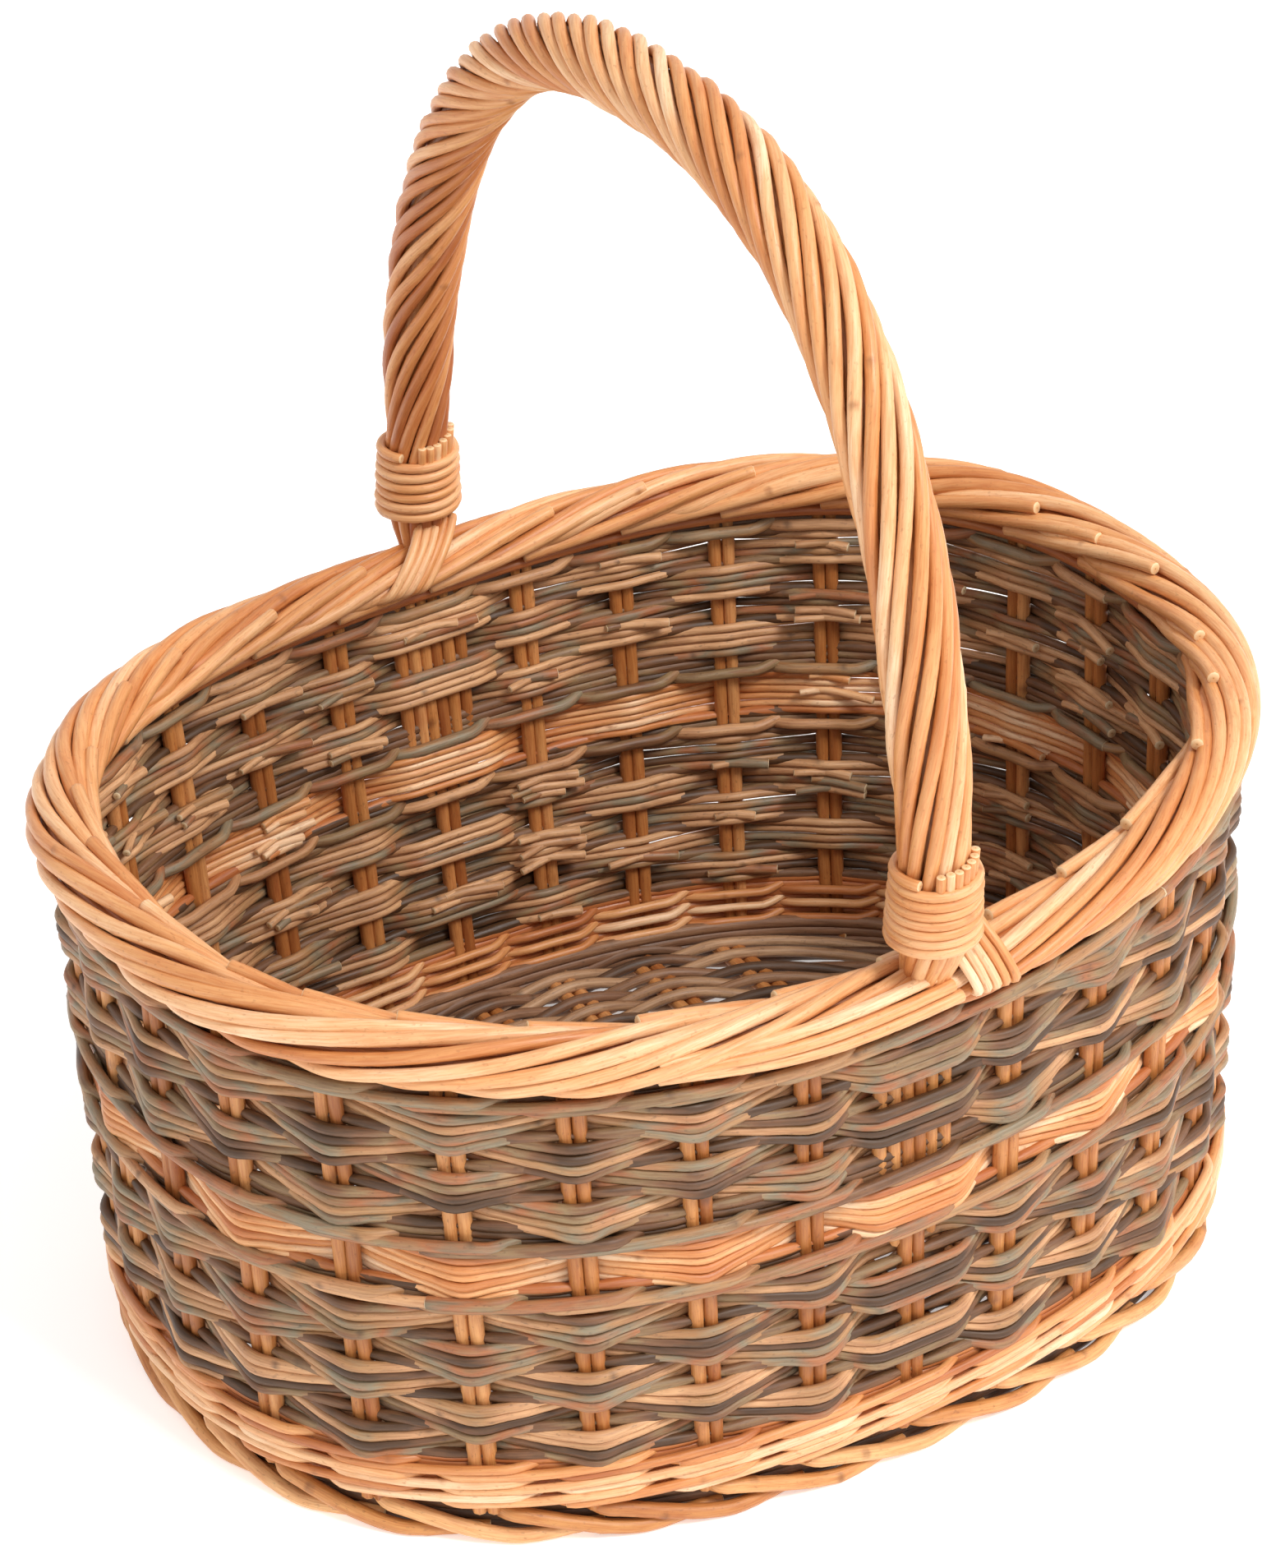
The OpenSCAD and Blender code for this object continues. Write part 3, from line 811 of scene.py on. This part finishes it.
def handle():
    """The bow, and the rods roped round it, nearly straight where they enter the bindings."""
    f = np.linspace(0.008, 0.992, 330)
    p, d, run = even_arch(f[0], f[-1], len(f))
    slim = 1 - ease(p[:, 2], BIND_HIGH - 0.010, BIND_HIGH + 0.06)
    low = 1 - ease(p[:, 2], RIM_Z - 0.004, BIND_LOW + 0.002)
    rope(f, p, d, run, slim, low)
    core = Rods(32)
    core.add(p, (1, 0, 0), BOW_R - LEG_SLIM * slim - 0.0034 * low, 0.3, 12)
    core.make("handle_core_bow", STAKE, "handle_bow")


def rope(f, p, d, run, slim, low):
    """The roped rods: the twist is tightest past the crown, and the back leg is painted darker as
    shade.
    """
    rods = Rods(31, (0.07, 0.25))
    rate = 0.22 + 0.42 * np.exp(-((f - 0.6) / 0.3) ** 2)
    twist = np.cumsum(rate) / rate.sum() * ROPE_TURNS * TURN
    x = np.array([1.0, 0, 0])
    for k in range(ROPE_RODS):
        w = k * TURN / ROPE_RODS + twist + rods.sway(run, 0.045)
        e = np.cos(w)[:, None] * x + np.sin(w)[:, None] * np.cross(d, x)
        r = GRIP_R - ROPE_ROD - LEG_SLIM * slim - 0.0032 * low + rods.sway(run, 0.0004)
        radius = ROPE_ROD * (np.linspace(1.04, 0.96, len(f)) + rods.sway(run, 0.03))
        # Painted shade: the rods darken toward the back leg.
        tone = rods.rng.uniform(0.4, 0.86) - 0.4 * ease(f, 0.55, 0.9)
        rods.add(p + r[:, None] * e, e, radius, tone, 10)
    rods.make("roped_handle_rods", BUFF, "handle_rope")


def leg(s, z):
    """The middle of a leg at height z."""
    return np.array([HANDLE_X, s * (HANDLE_HALF - 0.0006), z])


def binding(s, name, turns, seed):
    """Thin rod wound round the leg in close turns, drawn in toward the top."""
    rods = Rods(seed)
    w = np.arange(0, turns * TURN, 0.16)
    f = w / w[-1]
    r = BIND_R - 0.0010 * f + rods.sway(w * 0.015, 0.0002)
    e = np.stack([np.cos(w), np.sin(w), 0 * w], axis=-1)
    path = leg(s, BIND_LOW) + r[:, None] * e
    path[:, 0] += 0.0008 * f
    path[:, 2] += f * (BIND_HIGH - BIND_LOW)
    rods.add(path, e, BIND_ROD, 0.62)
    rods.make("leg_" + name, BUFF, name)


def tips(s, name, first, seed):
    """The cut ends of rods that stand up above a binding."""
    rods = Rods(seed)
    for i in range(TIPS):
        w = math.radians(first + i * TIP_TURN)
        e = np.array([math.cos(w), math.sin(w), 0])
        top = 0.0036 + 0.0005 * i + rods.rng.uniform(-0.0005, 0.0005)
        h = np.linspace(-0.010, top, 7)
        splay = np.array([0, 0, 1.0]) + 0.06 * e
        path = leg(s, BIND_HIGH) + 0.0122 * e + h[:, None] * splay
        rods.add(path, e, TIP_ROD, rods.rng.uniform(0.3, 0.8), 10)
    rods.make("cut_" + name, BUFF, name)


def lashing(s, name, head_x, foot_x, seed):
    """Five thin rods carried from a binding down over the border's -Y face."""
    rods = Rods(seed)
    f = np.linspace(0, 1, 30)
    w = np.radians(85 - 100 * f)
    reach = BORDER_R + 0.0019 - 0.0050 * ease(f, 0.76, 1)
    rise = BIND_LOW - 0.003 - RIM_Z + SADDLE - reach
    e = np.stack([0 * w, -np.cos(w), np.sin(w)], axis=-1)
    middle = (0, s * (RIM_B - 0.0004), RIM_Z - SADDLE)
    for i in range(LASH_RODS):
        path = (reach + rise * (1 - f) ** 4)[:, None] * e + middle
        slant = head_x + (foot_x - head_x) * f
        path[:, 0] += slant + i * LASH_STEP + rods.sway(f * 0.04, 0.0003)
        rods.add(path, e, LASH_ROD, rods.rng.uniform(0.4, 1))
    rods.make("border_" + name, BUFF, name)


# ---- the studio ----

def camera():
    """The photo's view: from the left, above and in front, a little rolled."""
    azimuth = math.radians(-31.13)
    height = math.radians(31.98)
    roll = math.radians(-0.55)
    distance = 1.6554
    back = Vector((math.sin(azimuth) * math.cos(height), -math.cos(azimuth) * math.cos(height),
                   math.sin(height)))
    right = Vector((math.cos(azimuth), math.sin(azimuth), 0))
    up = back.cross(right)
    target = Vector((0, 0, 0.1892)) - 0.0026 * right - 0.0012 * up
    tilted = math.cos(roll) * right + math.sin(roll) * up
    upright = math.cos(roll) * up - math.sin(roll) * right
    turned = Matrix((tilted, upright, back)).transposed().to_4x4()
    data = bpy.data.cameras.new("camera")
    data.lens = 110.7
    data.sensor_width = 36
    obj = bpy.data.objects.new("camera", data)
    obj.matrix_world = Matrix.Translation(target + back * distance) @ turned
    bpy.context.scene.collection.objects.link(obj)
    bpy.context.scene.camera = obj


def lamp(name, place, size, power, colour):
    """An area light that faces the basket."""
    data = bpy.data.lights.new(name, "AREA")
    data.size = size
    data.energy = power
    data.color = colour
    obj = bpy.data.objects.new(name, data)
    obj.location = place
    obj.rotation_euler = (Vector((0, 0, 0.15)) - Vector(place)).to_track_quat("-Z", "Y").to_euler()
    bpy.context.scene.collection.objects.link(obj)


def paper():
    """The white floor, which glows a little so that it stays white near the basket."""
    w = 6.0
    mesh = bpy.data.meshes.new("floor")
    mesh.from_pydata([(-w, -w, 0), (w, -w, 0), (w, w, 0), (-w, w, 0)], [], [(0, 1, 2, 3)])
    floor = bpy.data.objects.new("floor", mesh)
    bpy.context.scene.collection.objects.link(floor)
    n = Nodes("floor_paper")
    n.shader.inputs["Base Color"].default_value = (0.96, 0.96, 0.96, 1)
    n.shader.inputs["Roughness"].default_value = 0.9
    n.shader.inputs["Emission Color"].default_value = (1, 1, 1, 1)
    n.shader.inputs["Emission Strength"].default_value = 0.4
    mesh.materials.append(n.material)


def studio():
    """The floor, an even white surround, a key light from the front and a weak fill."""
    paper()
    world = bpy.data.worlds.new("studio")
    bpy.context.scene.world = world
    world.use_nodes = True
    surround = world.node_tree.nodes["Background"]
    surround.inputs["Color"].default_value = (1, 1, 1, 1)
    surround.inputs["Strength"].default_value = 0.82
    lamp("key", (0.9, -2.9, 3.9), size=1.3, power=150, colour=(1, 0.98, 0.95))
    lamp("fill", (2.4, -1.4, 2.2), size=1.6, power=20, colour=(1, 0.96, 0.9))
    bpy.context.scene.view_settings.view_transform = "Standard"


camera()
studio()
for row in range(len(SLEW_Z)):
    slew_row(row, "slew_row_%02d" % (row + 1))
for i in range(3):
    wale("upsett_wale_%d" % (i + 1), "buff_wale_%d" % (i + 1), z=UPSETT_Z + UPSETT_STEP * i,
         r=0.0017, rise=0.0050, material=BUFF, seed=41 + i, shift=i)
wale("mid_wale_lower", "thin_wale_lower", z=0.1049, r=0.0021, rise=0.0034,
     material=GREY, seed=51)
wale("mid_wale_upper", "thin_wale_upper", z=0.1287, r=0.0021, rise=0.0034,
     material=GREY, seed=52, shift=1)
wale("top_wale", "thin_wale_top", z=0.1877, r=0.0022, rise=0.0036,
     material=GREY, seed=53, shift=2)
side_stakes()
liners("handle_liners_front", FRONT_BOW, seed=61)
liners("handle_liners_back", BACK_BOW, seed=62)
rim_border()
foot_border()
foot_hoop()
base_weave()
cross_sticks()
long_sticks()
handle()
binding(-1, "binding_front", turns=7.6, seed=71)
binding(1, "binding_back", turns=6.6, seed=72)
tips(-1, "rope_ends_front", first=-115, seed=73)
tips(1, "rope_ends_back", first=-108, seed=74)
lashing(-1, "lashing_front", head_x=0.009, foot_x=0.0175, seed=75)
lashing(1, "lashing_back", head_x=-0.0015, foot_x=-0.0255, seed=76)
